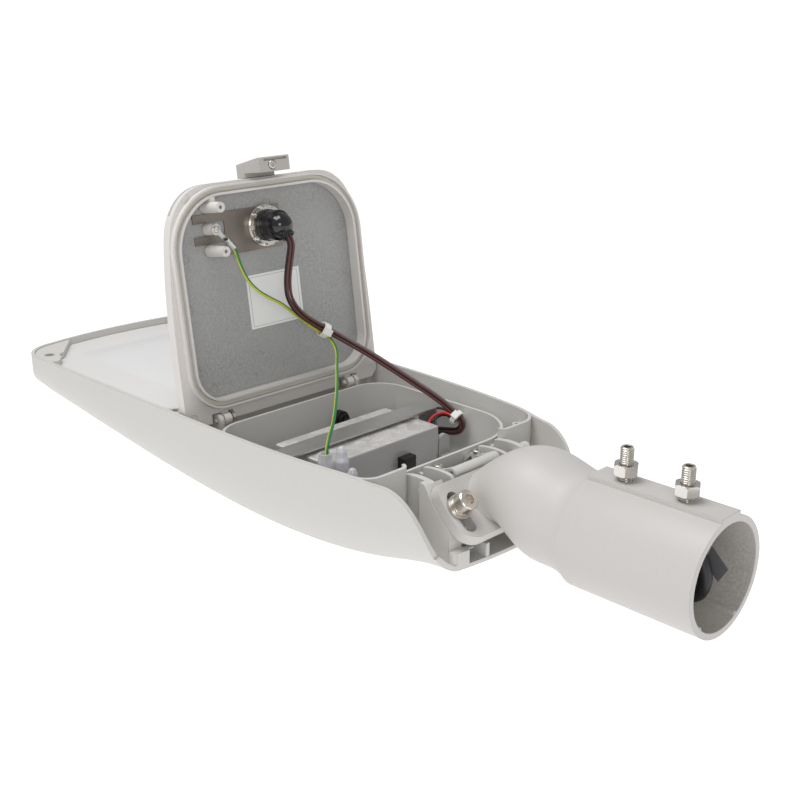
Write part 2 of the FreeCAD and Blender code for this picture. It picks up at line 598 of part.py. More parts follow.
def gear():
    # driver, strap, glands and wire caps in the compartment
    parts = {}
    x0, x1, y0, y1, z0, z1 = DRIVER
    case = box(x0, x1, y0, y1, z0, z1)
    case = case.makeFillet(1.6, [e for e in case.Edges if abs(e.CenterOfMass.z - z1) < 1e-3
                                 or e.BoundBox.ZLength > z1 - z0 - 1e-3])
    ears = []
    for y, tall in ((y0 - 11, 8.5), (y1 + 0.1, 11.6)):
        foot = box(x1 - 15, x1 + 4, y, y + 10.9, z0 + 0.1, z0 + 2.6)
        foot = foot.cut(rod(V(-262.0, y + 5.45, z0 - 1), Z, 2.0, 6))
        lobe = rod(V(x1 - 2.8, y + 5.45, z0 + tall), X, 5.4, 3.0)
        lobe = joined(lobe, box(x1 - 2.8, x1 + 0.2, y, y + 10.9, z0 + 0.1, z0 + tall))
        ears.append(joined(foot, lobe))
    parts["driver_case"] = case
    parts["driver_ears"] = Part.makeCompound(ears)
    parts["driver_screws"] = Part.makeCompound(
        [pan_screw(V(-262.0, y, z0 + 2.7), Z, 1.5, 2.0, 8) for y in (y0 - 5.55, y1 + 5.55)])
    plug = box(x1 + 0.1, x1 + 6.5, 11, 23, -18.5, -7.5)
    outer = [e for e in plug.Edges if abs(e.CenterOfMass.x - x1 - 6.5) < 1e-3]
    parts["driver_plug"] = plug.makeFillet(1.2, outer)
    x, y = STRAP_SCREW
    left, right, half = x - 8.5, x + 8.5, STRAP_HALF
    strap = box(left, right, -half, half, 7.2, 8.6)
    legs = [box(left, right, s * (half - 0.7) - 0.7, s * (half - 0.7) + 0.7, -12.0, 7.3) for s in (1, -1)]
    feet = [box(left, right, min(s * (half - 10), s * half), max(s * (half - 10), s * half), -11.9, -10.5)
            for s in (1, -1)]
    strap = strap.fuse(legs + feet).removeSplitter()
    parts["strap"] = strap.cut([rod(V(x, s * y, -13), Z, 1.8, 4) for s in (1, -1)])
    parts["strap_screws"] = Part.makeCompound(
        [pan_screw(V(x, s * y, -10.4), Z, 1.5, 2.2, 9) for s in (1, -1)])
    caps = []
    for x, y, top, r in ((-250.5, -45.2, 17.6, 5.2), (-220.5, -63.3, 16.6, 5.2)):
        low = top - 22
        solid = turned_profile([(0, low), (r, low), (r, low + 12), (r * 0.72, low + 15),
                                (r * 0.62, top - 3.2), (r * 0.4, top - 0.8), (0.8, top), (0, top)])
        solid = solid.cut(rod(V(0, 0, low - 1), Z, r - 1.0, 13))
        caps.append(moved(solid, x, y, 0))
    # the earth joint is an open cap, mouth upwards
    cup = turned_profile([(0, -6), (3.0, -6), (5.2, -4), (5.6, 2), (5.6, 8), (4.6, 12), (4.2, 15.6),
                          (0, 15.6)])
    caps.append(moved(cup.cut(rod(V(0, 0, -2), Z, 3.1, 30)), *EARTH_CAP, 0))
    parts["wire_caps"] = Part.makeCompound(caps)
    gland = rod(V(TUB_FRONT + 0.1, *LEAD_GLAND), X, 6.0, 5)
    gland = gland.fuse(rod(V(TUB_FRONT - 2.2, *LEAD_GLAND), X, 4.0, 4))
    gland = gland.fuse(rod(V(TUB_FRONT + 5, *LEAD_GLAND), X, 4.4, 3))
    parts["lead_gland"] = gland.cut(rod(V(TUB_FRONT - 8, *LEAD_GLAND), X, LED_D / 2 + 0.2, 20))
    grommet = rod(V(TUB_REAR - 4.2, *MAINS_ENTRY), X, 7.95, 6.4)
    grommet = grommet.fuse(rod(V(TUB_REAR + 0.1, *MAINS_ENTRY), X, 10.0, 2.2))
    parts["mains_grommet"] = grommet.cut(rod(V(TUB_REAR - 8, *MAINS_ENTRY), X, 4.3, 20))
    parts["mains_sheath"] = rod(V(TUB_REAR - 9.0, *MAINS_ENTRY), X, 4.0, 24)
    # latch catch: two arms and the rolled lip that the latch hooks behind
    x = TUB_REAR + 0.1
    lip = V(CATCH_SCREW_X + 13.4, 0, 12.4)
    arm = prism([V(x, 15.4, -1), V(x + 2, 15.4, -1), V(x + 2, 15.4, 5.6), V(x + 5.4, 15.4, 9.4),
                 V(x + 12.4, 15.4, 9.4), V(lip.x - 3, 15.4, 11.4), V(lip.x - 2.4, 15.4, 15.6),
                 V(x + 12.4, 15.4, 12.0), V(x + 5.6, 15.4, 12.0), V(x, 15.4, 7.6)], V(0, 5.2, 0))
    roll = ring(lip - Y * 20.6, Y, 4.0, 1.9, 41.2)
    roll = roll.cut(box(lip.x - 5, lip.x, -15.4, 15.4, lip.z - 5, lip.z))
    catch = joined(arm, mirrored(arm), roll)
    catch = catch.cut([rod(V(CATCH_SCREW_X, s * 18.0, 5), Z, 1.7, 12) for s in (1, -1)])
    parts["latch_catch"] = catch
    parts["catch_screws"] = Part.makeCompound(
        [pan_screw(V(CATCH_SCREW_X, s * 18.0, 12.1), Z, 1.5, 2.2, 8) for s in (1, -1)])
    pins = []
    for s in (1, -1):
        pin = rod(V(HINGE.x, min(s * 52.9, s * 67.0), HINGE.z), Y, PIN_R, 14.1)
        head = rod(V(HINGE.x, min(s * 50.4, s * 53.0), HINGE.z), Y, 3.6, 2.6)
        slot = box(HINGE.x - 0.5, HINGE.x + 0.5, min(s * 50.0, s * 51.4), max(s * 50.0, s * 51.4),
                   HINGE.z - 5, HINGE.z + 5)
        pins.append(pin.fuse(head).removeSplitter().cut(slot))
    parts["hinge_pins"] = Part.makeCompound(pins)
    return parts


def cover_plan(z0, z1):
    # cover outline in the closed place: straight hinge side, tapered flanks, round rear corners
    x0 = HINGE.x - 1.5
    x1 = COVER_END
    side = TUB_HALF + 7.3
    flank = Part.BSplineCurve()
    flank.interpolate(Points=[V(x0 + 5, side, z0), V(x1 - 103.5, side - 0.4, z0),
                              V(x1 - 65.5, side - 2.4, z0), V(x1 - 39.5, side - 5.4, z0),
                              V(x1 - 18.5, side - 11.0, z0), V(x1 - 5, side - 23.1, z0), V(x1, 46.0, z0)],
                      InitialTangent=V(1, 0, 0), FinalTangent=V(0, -1, 0))
    near = flank.toShape().mirror(V(0, 0, 0), Y)
    wire = Part.Wire(Part.__sortEdges__([
        flank.toShape(),
        Part.makeLine(V(x1, 46.0, z0), V(x1, -46.0, z0)),
        near,
        Part.makeLine(V(x0 + 5, -side, z0), V(x0, 5 - side, z0)),
        Part.makeLine(V(x0, 5 - side, z0), V(x0, side - 5, z0)),
        Part.makeLine(V(x0, side - 5, z0), V(x0 + 5, side, z0)),
    ]))
    return Part.Face(wire).extrude(V(0, 0, z1 - z0))


def opened(shape):
    return turned(shape, HINGE, Y, -OPEN_ANGLE)


def place(u, v, d):
    # a point of the open cover: u across, v away from the hinge, d out of its inner side
    return opened_point(V(HINGE.x + v, u, HINGE.z - d))


def opened_point(p):
    a = math.radians(OPEN_ANGLE)
    x = p.x - HINGE.x
    z = p.z - HINGE.z
    return V(HINGE.x + x * math.cos(a) - z * math.sin(a), p.y, HINGE.z + x * math.sin(a) + z * math.cos(a))


def cover_shell():
    top = HINGE.z + COVER_OUT
    face = HINGE.z + 1.0
    skin = top - COVER_SKIN
    body = cover_plan(face, top)
    edges = [e for e in body.Edges if abs(e.CenterOfMass.z - top) < 1e-3
             and e.CenterOfMass.x > HINGE.x + 4]
    body = body.makeFillet(2.0, edges)
    ridges = tub_plan(-2.1, RIDGE_FOOT, face + 0.5).cut(tub_plan(-0.6, 0, 40))
    lip = tub_plan(2.8, RIDGE_FOOT, face + 0.5)
    body = body.fuse([ridges, lip])
    body = body.cut(tub_plan(-0.6, 0, face + 1.0).cut(tub_plan(2.8, -5, 40)))
    body = body.cut(tub_plan(4.6, 0, skin))
    bosses = []
    for v, tip in zip(BOSS_V, (13.0, 4.0, 13.0)):
        foot = V(HINGE.x + v, BOSS_U, skin + 0.5)
        height = tip + skin + 0.5 - HINGE.z
        boss = Part.makeCone(4.2, 3.5, height, foot, V(0, 0, -1))
        bosses.append(boss.cut(rod(foot - Z * height, Z, 1.3, 12)))
    web = box(HINGE.x + BOSS_V[0] - 1, HINGE.x + 151, BOSS_U - 1, BOSS_U + 1, HINGE.z - 6, skin + 0.5)
    body = body.fuse(bosses + [web])
    body = body.cut([rod(V(HINGE.x + BOSS_V[0], BOSS_U, RIDGE_FOOT - 5), Z, 1.3, 14)])
    # notches round the hinge lugs, then the knuckles that carry the bushings
    notch = [box(HINGE.x - 3, HINGE.x + 5, min(s * 49.5, s * 67.5), max(s * 49.5, s * 67.5), 0, 40)
             for s in (1, -1)]
    body = body.cut(notch)
    for s in (1, -1):
        knuckle = box(HINGE.x - 4.2, HINGE.x + 5.5, min(s * 54.6, s * 60.4), max(s * 54.6, s * 60.4),
                      HINGE.z, top)
        front = [e for e in knuckle.Edges if e.BoundBox.YLength > 5
                 and (V(e.CenterOfMass.x, 0, e.CenterOfMass.z) - V(HINGE.x - 4.2, 0, top)).Length < 0.1]
        knuckle = knuckle.makeFillet(3.5, front)
        knuckle = knuckle.cut(rod(V(HINGE.x, min(s * 54, s * 61), HINGE.z), Y, 4.3, 7))
        body = body.fuse(knuckle)
    # ejector marks, socket hole and hollow for the latch
    marks = [rod(V(HINGE.x + v, u, skin - 1), Z, 3.3, 1.25)
             for u, v in ((-26, 141), (5, 141), (46, 141), (70, 117), (71, 78), (71, 34), (58, 21),
                          (21, 21), (-24, 21), (-60, 21), (-71, 34), (-71, 78), (-69, 112))]
    marks += [rod(V(HINGE.x + v, s * u, face - 1), Z, 3.3, 1.25)
              for u, v in ((82.5, 4.8), (66, 151.5)) for s in (1, -1)]
    body = body.cut(marks)
    return body.cut(rod(V(HINGE.x + SOCKET_V, 0, 0), Z, 11.2, 60)).removeSplitter()


def cover_parts():
    parts = {"cover": cover_shell()}
    top = HINGE.z + COVER_OUT
    skin = top - COVER_SKIN
    face = HINGE.z + 1.0
    parts["cover_gasket"] = tub_plan(-0.5, HINGE.z, face + 1.0).cut(tub_plan(2.7, 0, 40))
    bushings = [ring(V(HINGE.x, min(s * 54.6, s * 60.4), HINGE.z), Y, 4.25, PIN_R + PIN_FIT, 5.8)
                for s in (1, -1)]
    parts["hinge_bushings"] = Part.makeCompound(bushings)
    c = V(HINGE.x + SOCKET_V, 0, 0)
    down = V(0, 0, -1)
    socket = rod(c + Z * (top + 0.1), Z, 21.0, 3.6)
    socket = socket.makeFillet(1.2, [e for e in socket.Edges if abs(e.CenterOfMass.z - top - 3.7) < 1e-3])
    socket = socket.fuse(rod(c + Z * (top + 0.5), Z, 15.5, 9))
    socket = socket.fuse(rod(c + Z * (top + 1), down, 10.9, top + 1 - HINGE.z + 3.0))
    parts["sensor_socket"] = socket.cut(rod(c + Z * (top - 2), down, 8.6, 30)).removeSplitter()
    cap = rod(c + Z * (top + 3.8), Z, 18.5, 12.0)
    cap = cap.makeFillet(3.0, [e for e in cap.Edges if abs(e.CenterOfMass.z - top - 15.8) < 1e-3])
    grips = [rod(c + V(19.6 * math.cos(k * math.pi / 6), 19.6 * math.sin(k * math.pi / 6), top), Z, 2.4, 20)
             for k in range(12)]
    parts["socket_cap"] = cap.cut(rod(c + Z * (top + 3), Z, 15.6, 6.6)).cut(grips)
    # castellated lock nut over the earth plate
    nut = ring(c + Z * (skin - 1.1), down, 13.8, 11.0, 5.2)
    teeth = [box(-1.5, 1.5, 12.6, 16, -8, 0) for k in range(10)]
    for k, tooth in enumerate(teeth):
        tooth.rotate(V(0, 0, 0), Z, 36 * k)
        tooth.translate(c + Z * (skin - 2.6))
    flange = ring(c + Z * (skin - 1.1), down, 14.6, 11.0, 1.4)
    parts["lock_nut"] = nut.cut(teeth).fuse(flange).removeSplitter()
    v0 = HINGE.x + SOCKET_V
    plate = box(v0 - 16, v0 + 13.5, -34, 14.5, skin - 1.0, skin - 0.1)
    for v in ((119.4, 124.9), (133.9, 139.7)):
        plate = plate.fuse(box(HINGE.x + v[0], HINGE.x + v[1], -59.5, -33, skin - 1.0, skin - 0.1))
    parts["earth_plate"] = plate.removeSplitter().cut(rod(c, Z, 11.3, 40))
    # rubber boot: short barrel with a domed end and a spout for the wires
    barrel = rod(c + Z * (HINGE.z - 3.1), down, 10.6, BOOT_D - 3.1)
    dome = Part.makeSphere(9.2, c + Z * (HINGE.z - BOOT_D))
    dome = dome.cut(rod(c + Z * (HINGE.z - BOOT_D), Z, 12, 12))
    out = V(-0.78, 0.2, -0.6).normalize()
    core = c + Z * (HINGE.z - BOOT_D)
    boot = joined(barrel, dome, rod(core, out, 4.9, 10.6))
    parts["boot"] = boot.cut(rod(core + out * 6, out, 3.7, 8))
    tip = HINGE.z - 4.0
    foot = V(HINGE.x + BOSS_V[1], BOSS_U, tip)
    tag = ring(foot - Z * 0.1, down, 3.9, 1.7, 0.8)
    tongue = box(-9.5, -2.5, -1.6, 1.6, -0.9, -0.1)
    tongue.rotate(V(0, 0, 0), Z, -LUG_TURN)
    tag = joined(tag, moved(tongue, foot.x, foot.y, foot.z)).cut(rod(foot - Z * 3, Z, 1.7, 5))
    parts["ring_terminal"] = tag
    sleeve = ring(V(-9.6, 0, -2.0), V(-1, 0, 0), 2.3, 1.45, 8.5)
    sleeve.rotate(V(0, 0, 0), Z, -LUG_TURN)
    parts["crimp_sleeve"] = moved(sleeve, foot.x, foot.y, foot.z)
    parts["earth_screw"] = pan_screw(foot - Z * 1.0, down, 1.25, 2.2, 8)
    # latch block with its inner screw
    x = HINGE.x
    z = HINGE.z
    e = COVER_END
    side = [V(e + 0.1, -13, z + 12.3), V(e + 9.5, -13, z + 12.3), V(e + 13.9, -13, z - 14),
            V(e + 3.5, -13, z - 14), V(e + 3.5, -13, z + 3.6), V(e + 0.1, -13, z + 3.6)]
    block = prism(side, V(0, 26, 0))
    block = block.makeFillet(1.0, [edge for edge in block.Edges if edge.BoundBox.YLength > 25
                                   and edge.CenterOfMass.x > e + 5.5])
    block = block.cut(box(e + 11.1, e + 12.5, -9, 11, z - 15, z - 12.6))
    screw = V(e + 8.1, -2, z - 12.95)
    pocket = rod(screw - Z * 1.55, Z, 3.3, 1.6)
    parts["latch_block"] = block.cut([pocket, rod(screw - Z, Z, 1.6, 12)])
    parts["latch_screw"] = pan_screw(screw, down, 1.55, 1.8, 8)
    parts["rating_label"] = box(x + 55, x + 93, -21, 27, skin - 0.25, skin - 0.05)
    return {name: opened(shape) for name, shape in parts.items()}


def tie_band(centre, axis, side, w, r):
    # nylon tie round a bundle, with its lock
    band = ring(centre - axis * (w / 2), axis, r + 1.2, r, w)
    side = (side - axis * side.dot(axis)).normalize()
    lock = box(-w / 2 - 0.6, w / 2 + 0.6, -2.6, 2.6, r + 0.3, r + 3.4)
    across = side.cross(axis)
    lock.Placement = FreeCAD.Placement(centre, FreeCAD.Rotation(axis, across, side, "XZY"))
    return joined(band, lock.cut(rod(centre - axis * w, axis, r, 2 * w)))


def cord(name, points, dia):
    # straight runs joined by tangent arcs
    edges = []
    start = points[0]
    radii = []
    for a, b, c in zip(points, points[1:], points[2:]):
        before = (b - a)
        after = (c - b)
        turn = before.getAngle(after)
        radius = 0.45 * min(before.Length, after.Length) / math.tan(turn / 2)
        back = radius * math.tan(turn / 2)
        p = b - before.normalize() * back
        q = b + after.normalize() * back
        bisector = (p + q) * 0.5 - b
        middle = b + bisector.normalize() * (radius / math.cos(turn / 2) - radius)
        edges.append(Part.LineSegment(start, p).toShape())
        edges.append(Part.Arc(p, middle, q).toShape())
        start = q
        radii.append(radius)
    edges.append(Part.LineSegment(start, points[-1]).toShape())
    path = Part.Wire(edges)
    length = path.Length
    first = points[1] - points[0]
    profile = Part.Wire(Part.makeCircle(dia / 2, points[0], first))
    tube = path.makePipeShell([profile], True, False)
    exact = math.pi * dia * dia / 4 * length
    ratio = tube.Volume / exact
    print(f"{name}: length {length:.1f} least radius {min(radii):.1f} volume ratio {ratio:.4f}")
    return tube


def bundle(path, names):
    # equal conductors round a common path, kept side by side by a frame carried along it
    tangents = [(b - a).normalize() for a, b in zip([path[0]] + path[:-1], path[1:] + [path[-1]])]
    normal = (Z.cross(tangents[0]) if abs(tangents[0].z) < 0.9 else Y.cross(tangents[0])).normalize()
    rows = [[] for name in names]
    for point, tangent in zip(path, tangents):
        normal = (normal - tangent * normal.dot(tangent)).normalize()
        other = tangent.cross(normal)
        for k, row in enumerate(rows):
            a = 2 * math.pi * k / len(names) + 0.3
            row.append(point + (normal * math.cos(a) + other * math.sin(a)) * BUNDLE_R)
    return {name: cord(name, row, CORE_D) for name, row in zip(names, rows)}


def cords():
    hang = ((1.6, 119.9, 16.4), (3.0, 114.2, 19.4), (1.4, 106.6, 18.8), (-1.2, 96.6, 17.8),
            (-2.4, 86.0, 16.2), (-1.2, 75.6, 14.6), (5.2, 65.8, 13.0), (14.0, 58.0, 12.0), TIE_IN, TIE_OUT)
    drop = (V(-329.0, 42.6, 49.0), V(-313.6, 50.0, 40.6), V(-289.3, 59.2, 27.8), V(-271.0, 68.0, 16.6))
    w = WALL_TIE
    # the conductors fold back tightly behind the wall tie and run forward along the wall
    away = (w - WALL_RUN * 6, w + WALL_RUN * 3.6, V(-253.1, 73.5, -0.1), V(-255.5, 73.0, -4.1),
            V(-260.0, 72.6, -6.0), V(-266.8, 73.6, -7.6), V(-275.6, 74.9, -10.0), V(-286.4, 75.3, -12.4),
            V(-297.0, 73.6, -13.2), V(-305.2, 67.0, -11.5), V(-306.0, 59.0, -10.5), V(-305.8, 52.2, -10.4))
    path = [place(*p) for p in hang] + list(drop) + list(away)
    parts = bundle(path, ("wire_grey", "wire_brown_a", "wire_brown_b", "wire_black_a", "wire_black_b"))
    # earth wire from the ring terminal through the harness tie to the earth joint
    a = math.radians(LUG_TURN)
    start, bend = [place(BOSS_U + r * math.sin(a), BOSS_V[1] - r * math.cos(a), 6.0) for r in (13.0, 20.0)]
    side, middle, run = tie_frame()
    x, y = EARTH_CAP
    earth = [start, bend, place(-35.0, 104.0, 8.0), place(-31.2, 93.0, 8.6), place(-24.0, 84.2, 9.0),
             place(-14.2, 77.4, 8.8), place(-4.0, 71.8, 8.0), place(7.4, 62.6, 7.0),
             middle + side * 4.35 - run * 7, middle + side * 4.35 + run * 7,
             V(-330.0, 24.0, 50.2), V(-315.4, 10.1, 44.3), V(-300.7, -2.9, 38.4), V(-283.2, -20.1, 31.7),
             V(-266.3, -37.9, 25.8), V(x - 0.9, y + 1.9, 20.6), V(x, y, 8.0)]
    parts["wire_earth"] = cord("wire_earth", earth, EARTH_D)
    # leads from the wall tie to the driver
    red = w + V(0.1, -0.98, -0.1) * 4.2
    black = w + V(-0.35, -0.52, -0.78) * 3.95
    brown = w + V(-0.5, 0.35, -0.8) * 3.95
    leads = {
        "lead_red": (CORE_D, [red + WALL_RUN * 1.0, red - WALL_RUN * 4.5, V(-268.6, 67.2, 7.6),
                              V(-272.2, 61.4, 4.8), V(-270.6, 55.8, 0.4), V(-268.2, 53.0, -4.6)]),
        "lead_black": (CORE_D, [black + WALL_RUN * 1.0, black - WALL_RUN * 4.5, V(-270.6, 70.6, 5.0),
                                V(-274.6, 65.4, 0.6), V(-275.6, 58.4, -3.0), V(-275.4, 52.2, -4.4)]),
        "lead_brown": (CORE_D, [brown + WALL_RUN * 1.0, brown - WALL_RUN * 5, V(-273.0, 75.2, 7.6),
                                V(-286.0, 75.6, 4.6), V(-298.0, 74.0, 0.6), V(-305.0, 67.0, -2.6),
                                V(-306.4, 58.6, -4.4), V(-306.0, 52.2, -5.0)]),
        "led_cable": (LED_D, [V(-336.0, *LEAD_GLAND), V(-327.0, *LEAD_GLAND), V(-319.0, 32.5, -9.5),
                              V(-312.0, 27.8, -10.5)]),
        # cores of the mains cable to the two closed caps
        "mains_core_a": (MAINS_D, [V(-210.2, -5.4, -13.6), V(-217.0, -8.4, -15.4), V(-230.0, -18.0, -21.0),
                                   V(-242.0, -32.0, -22.6), V(-249.6, -41.8, -16.4),
                                   V(-250.5, -45.2, -5.4), V(-250.5, -45.2, 6.0)]),
        "mains_core_b": (MAINS_D, [V(-210.4, -2.2, -14.6), V(-216.0, -5.4, -20.0), V(-221.0, -18.0, -25.4),
                                   V(-222.6, -36.0, -26.8), V(-221.2, -53.0, -21.0),
                                   V(-220.5, -61.6, -8.0), V(-220.5, -63.3, 5.0)]),
    }
    for name, (dia, points) in leads.items():
        parts[name] = cord(name, points, dia)
    return parts


def tie_frame():
    # side towards the earth wire, middle and run of the harness tie
    a, b = place(*TIE_IN), place(*TIE_OUT)
    run = (b - a).normalize()
    side = V(-0.63, -0.18, -0.76)
    side = (side - run * side.dot(run)).normalize()
    return side, (a + b) * 0.5, run


def ties():
    side, middle, run = tie_frame()
    harness = tie_band(middle + side * 1.3, run, V(0.7, -0.7, 0.3), 5.0, 4.45)
    wall = tie_band(WALL_TIE + V(-0.4, -1.25, -1.1), WALL_RUN, V(0.46, -0.66, 0.6), 3.6, 4.65)
    return {"harness_tie": harness, "wall_tie": wall}


def save(name, shape):
    shape.exportStep(os.path.join("parts", name + ".step"))


os.makedirs("parts", exist_ok=True)
bolts, springs, washers = tilt_bolt_parts()
made = {"spigot_arm": spigot_arm(), "set_screws": set_screws(), "set_screw_nuts": set_screw_nuts(),
        "housing": housing(), "tilt_bolts": bolts, "spring_washers": springs, "flat_washers": washers}
made.update(lamp_window())
made.update(gear())
made.update(cover_parts())
made.update(cords())
made.update(ties())
for name, shape in made.items():
    print(name, shape.isValid(), round(shape.Volume), len(shape.Solids))
    save(name, shape)
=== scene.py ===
import json
import math
import bpy
import bmesh
from mathutils import Matrix, Vector

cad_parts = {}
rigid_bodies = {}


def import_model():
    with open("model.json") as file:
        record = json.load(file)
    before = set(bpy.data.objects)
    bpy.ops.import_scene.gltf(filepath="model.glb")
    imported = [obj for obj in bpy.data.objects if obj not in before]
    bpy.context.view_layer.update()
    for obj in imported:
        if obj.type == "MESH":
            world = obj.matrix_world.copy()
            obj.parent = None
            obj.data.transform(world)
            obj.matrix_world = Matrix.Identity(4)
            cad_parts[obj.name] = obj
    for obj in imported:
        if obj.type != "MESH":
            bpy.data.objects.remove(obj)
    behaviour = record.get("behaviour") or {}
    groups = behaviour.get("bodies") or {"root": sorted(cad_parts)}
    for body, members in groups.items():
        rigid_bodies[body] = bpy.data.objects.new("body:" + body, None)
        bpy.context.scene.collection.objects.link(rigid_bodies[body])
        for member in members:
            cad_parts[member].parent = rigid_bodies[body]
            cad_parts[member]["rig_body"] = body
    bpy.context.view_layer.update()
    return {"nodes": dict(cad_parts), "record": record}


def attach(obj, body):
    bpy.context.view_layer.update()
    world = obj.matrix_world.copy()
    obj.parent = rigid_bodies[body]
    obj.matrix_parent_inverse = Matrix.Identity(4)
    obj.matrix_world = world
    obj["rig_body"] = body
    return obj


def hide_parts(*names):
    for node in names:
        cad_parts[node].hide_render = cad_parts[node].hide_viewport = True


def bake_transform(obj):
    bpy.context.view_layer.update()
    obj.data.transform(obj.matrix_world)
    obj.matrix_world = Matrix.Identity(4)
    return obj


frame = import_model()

nodes = frame["nodes"]
scene = bpy.context.scene

# corners nearer than this are one, and edges sharper than these angles stay sharp
near = 1e-6
sharp = {"solid": math.radians(32.0), "made": math.radians(30.0)}
white = (1, 1, 1, 1)

# the cover's hinge, and how far the cover stands open
hinge = Vector((-0.356, 0.0, 0.0125))
openAngle = math.radians(97.5)

# camera, from the photograph
camera = {"place": (0.272635, -0.514836, 0.291705), "turn": 45.03, "down": 19.085, "lens": 53.09}
view = bpy.data.objects.new("camera", bpy.data.cameras.new("camera"))
view.data.lens = camera["lens"]
view.data.sensor_width = 36.0
view.data.clip_start = 0.01
view.location = camera["place"]
turn, down = math.radians(camera["turn"]), math.radians(camera["down"])
forward = Vector((-math.sin(turn) * math.cos(down), math.cos(turn) * math.cos(down), -math.sin(down)))
view.rotation_mode = "QUATERNION"
view.rotation_quaternion = forward.to_track_quat("-Z", "Y")
scene.collection.objects.link(view)
scene.camera = view


# a number on its way through a finish, so that sums of them read as sums
class Value:
    def __init__(self, finish, socket):
        self.finish = finish
        self.socket = socket

    def maths(self, operation, a, b=0.0):
        return self.finish.node("ShaderNodeMath", {"operation": operation}, {0: a, 1: b})

    def __add__(self, other):
        return self.maths("ADD", self, other)

    def __sub__(self, other):
        return self.maths("SUBTRACT", self, other)

    def __rsub__(self, other):
        return self.maths("SUBTRACT", other, self)

    def __mul__(self, other):
        return self.maths("MULTIPLY", self, other)

    def __gt__(self, other):
        return self.maths("GREATER_THAN", self, other)

    def __lt__(self, other):
        return self.maths("LESS_THAN", self, other)

    def __abs__(self):
        return self.maths("ABSOLUTE", self)

    __radd__ = __add__
    __rmul__ = __mul__


class Finish:
    def __init__(self, name):
        self.material = bpy.data.materials.new(name)
        self.material.use_nodes = True
        self.tree = self.material.node_tree
        self.tree.nodes.clear()

    def node(self, kind, settings=None, inputs=None, out=0):
        made = self.tree.nodes.new(kind)
        for key, value in (settings or {}).items():
            if key == "stops":
                while len(made.color_ramp.elements) < len(value):
                    made.color_ramp.elements.new(0.5)
                for stop, (position, color) in zip(made.color_ramp.elements, value):
                    stop.position = position
                    stop.color = color
            else:
                setattr(made, key, value)
        for key, value in (inputs or {}).items():
            socket = made.inputs[key]
            if isinstance(value, Value):
                self.tree.links.new(value.socket, socket)
            else:
                socket.default_value = value
        return Value(self, made.outputs[out])

    def place(self):
        return self.node("ShaderNodeTexCoord", out="Object")

    def axis(self, name):
        return self.node("ShaderNodeSeparateXYZ", None, {0: self.place()}, out=name)

    def noise(self, where, scale, detail, roughness=0.5):
        return self.node("ShaderNodeTexNoise", None, {"Vector": where, "Scale": scale, "Detail": detail,
                                                      "Roughness": roughness})

    def stretched(self, where, scale):
        return self.node("ShaderNodeMapping", None, {"Vector": where, "Scale": scale})

    def mixed(self, factor, first, second):
        return self.node("ShaderNodeMix", {"data_type": "RGBA", "clamp_factor": True},
                         {0: factor, 6: first, 7: second}, out=2)

    def ramp(self, factor, stops):
        grey = [(p, (v, v, v, 1)) for p, v in stops]
        return self.node("ShaderNodeValToRGB", {"stops": grey}, {"Fac": factor})

    def bump(self, height, strength, distance, normal):
        return self.node("ShaderNodeBump", None, {"Height": height, "Strength": strength,
                                                  "Distance": distance, "Normal": normal})

    def rounded(self, radius):
        return self.node("ShaderNodeBevel", {"samples": 4}, {"Radius": radius})

    def surface(self, **inputs):
        shader = self.node("ShaderNodeBsdfPrincipled", None,
                           {key.replace("_", " "): value for key, value in inputs.items()}, out="BSDF")
        end = self.tree.nodes.new("ShaderNodeOutputMaterial")
        self.tree.links.new(shader.socket, end.inputs["Surface"])
        return self.material


def tone(red, green, blue):
    # a colour as a screen shows it, made linear
    return tuple((c / 255 / 12.92 if c <= 10 else ((c / 255 + 0.055) / 1.055) ** 2.4)
                 for c in (red, green, blue)) + (1.0,)


def darker(color, share):
    return tuple(c * share for c in color[:3]) + (1.0,)


# finishes, and the parts of a piece that look different from the rest of it
windowSize = {"front": -0.5525, "rear": -0.392, "half": 0.0545}
coverInside = {"low": -0.0071, "high": -0.0053, "half": 0.077}
bore = {"radius": 0.0312, "mouth": -0.0005, "end": -0.095}
labelLine = (0.92, 0.90)
earthStripe = {"edge": 0.62, "side": Vector((0.3, 0.2, 0.93)), "turned": 0.09, "eased": 0.8, "over": 1.8}


def powderCoat(name, color, grain=1.0, edge=0.0007, rough=0.46, bare=None, bareColor=None):
    f = Finish(name)
    where = f.place()
    cloud = f.noise(where, 9.0, 3.0)
    speck = f.noise(where, 1500.0, 2.0, 0.7)
    tinted = f.mixed(cloud, darker(color, 1.0 - 0.04 * grain), darker(color, 1.0 + 0.02 * grain))
    spots = f.ramp(speck, [(0.34, 0.0), (0.62, 1.0)])
    shade = f.mixed(spots, darker(color, 1.0 - 0.09 * grain), tinted)
    skin = f.noise(where, 950.0, 3.0, 0.6)
    roughness = rough + 0.12 * (skin - 0.5)
    if bare:
        inside = bare(f)
        fleck = f.ramp(f.noise(where, 620.0, 3.0, 0.75), [(0.38, 0.0), (0.62, 1.0)])
        patch = f.noise(where, 34.0, 3.0)
        cast = f.mixed(fleck, darker(bareColor, 0.74), darker(bareColor, 1.16))
        cast = f.mixed(patch, cast, darker(bareColor, 1.04))
        shade = f.mixed(inside, shade, cast)
        roughness = roughness + 0.12 * inside
    normal = f.bump(skin, 0.28 * grain, 0.00025, f.rounded(edge))
    return f.surface(Base_Color=shade, Roughness=roughness, Normal=normal, Specular_IOR_Level=0.42)


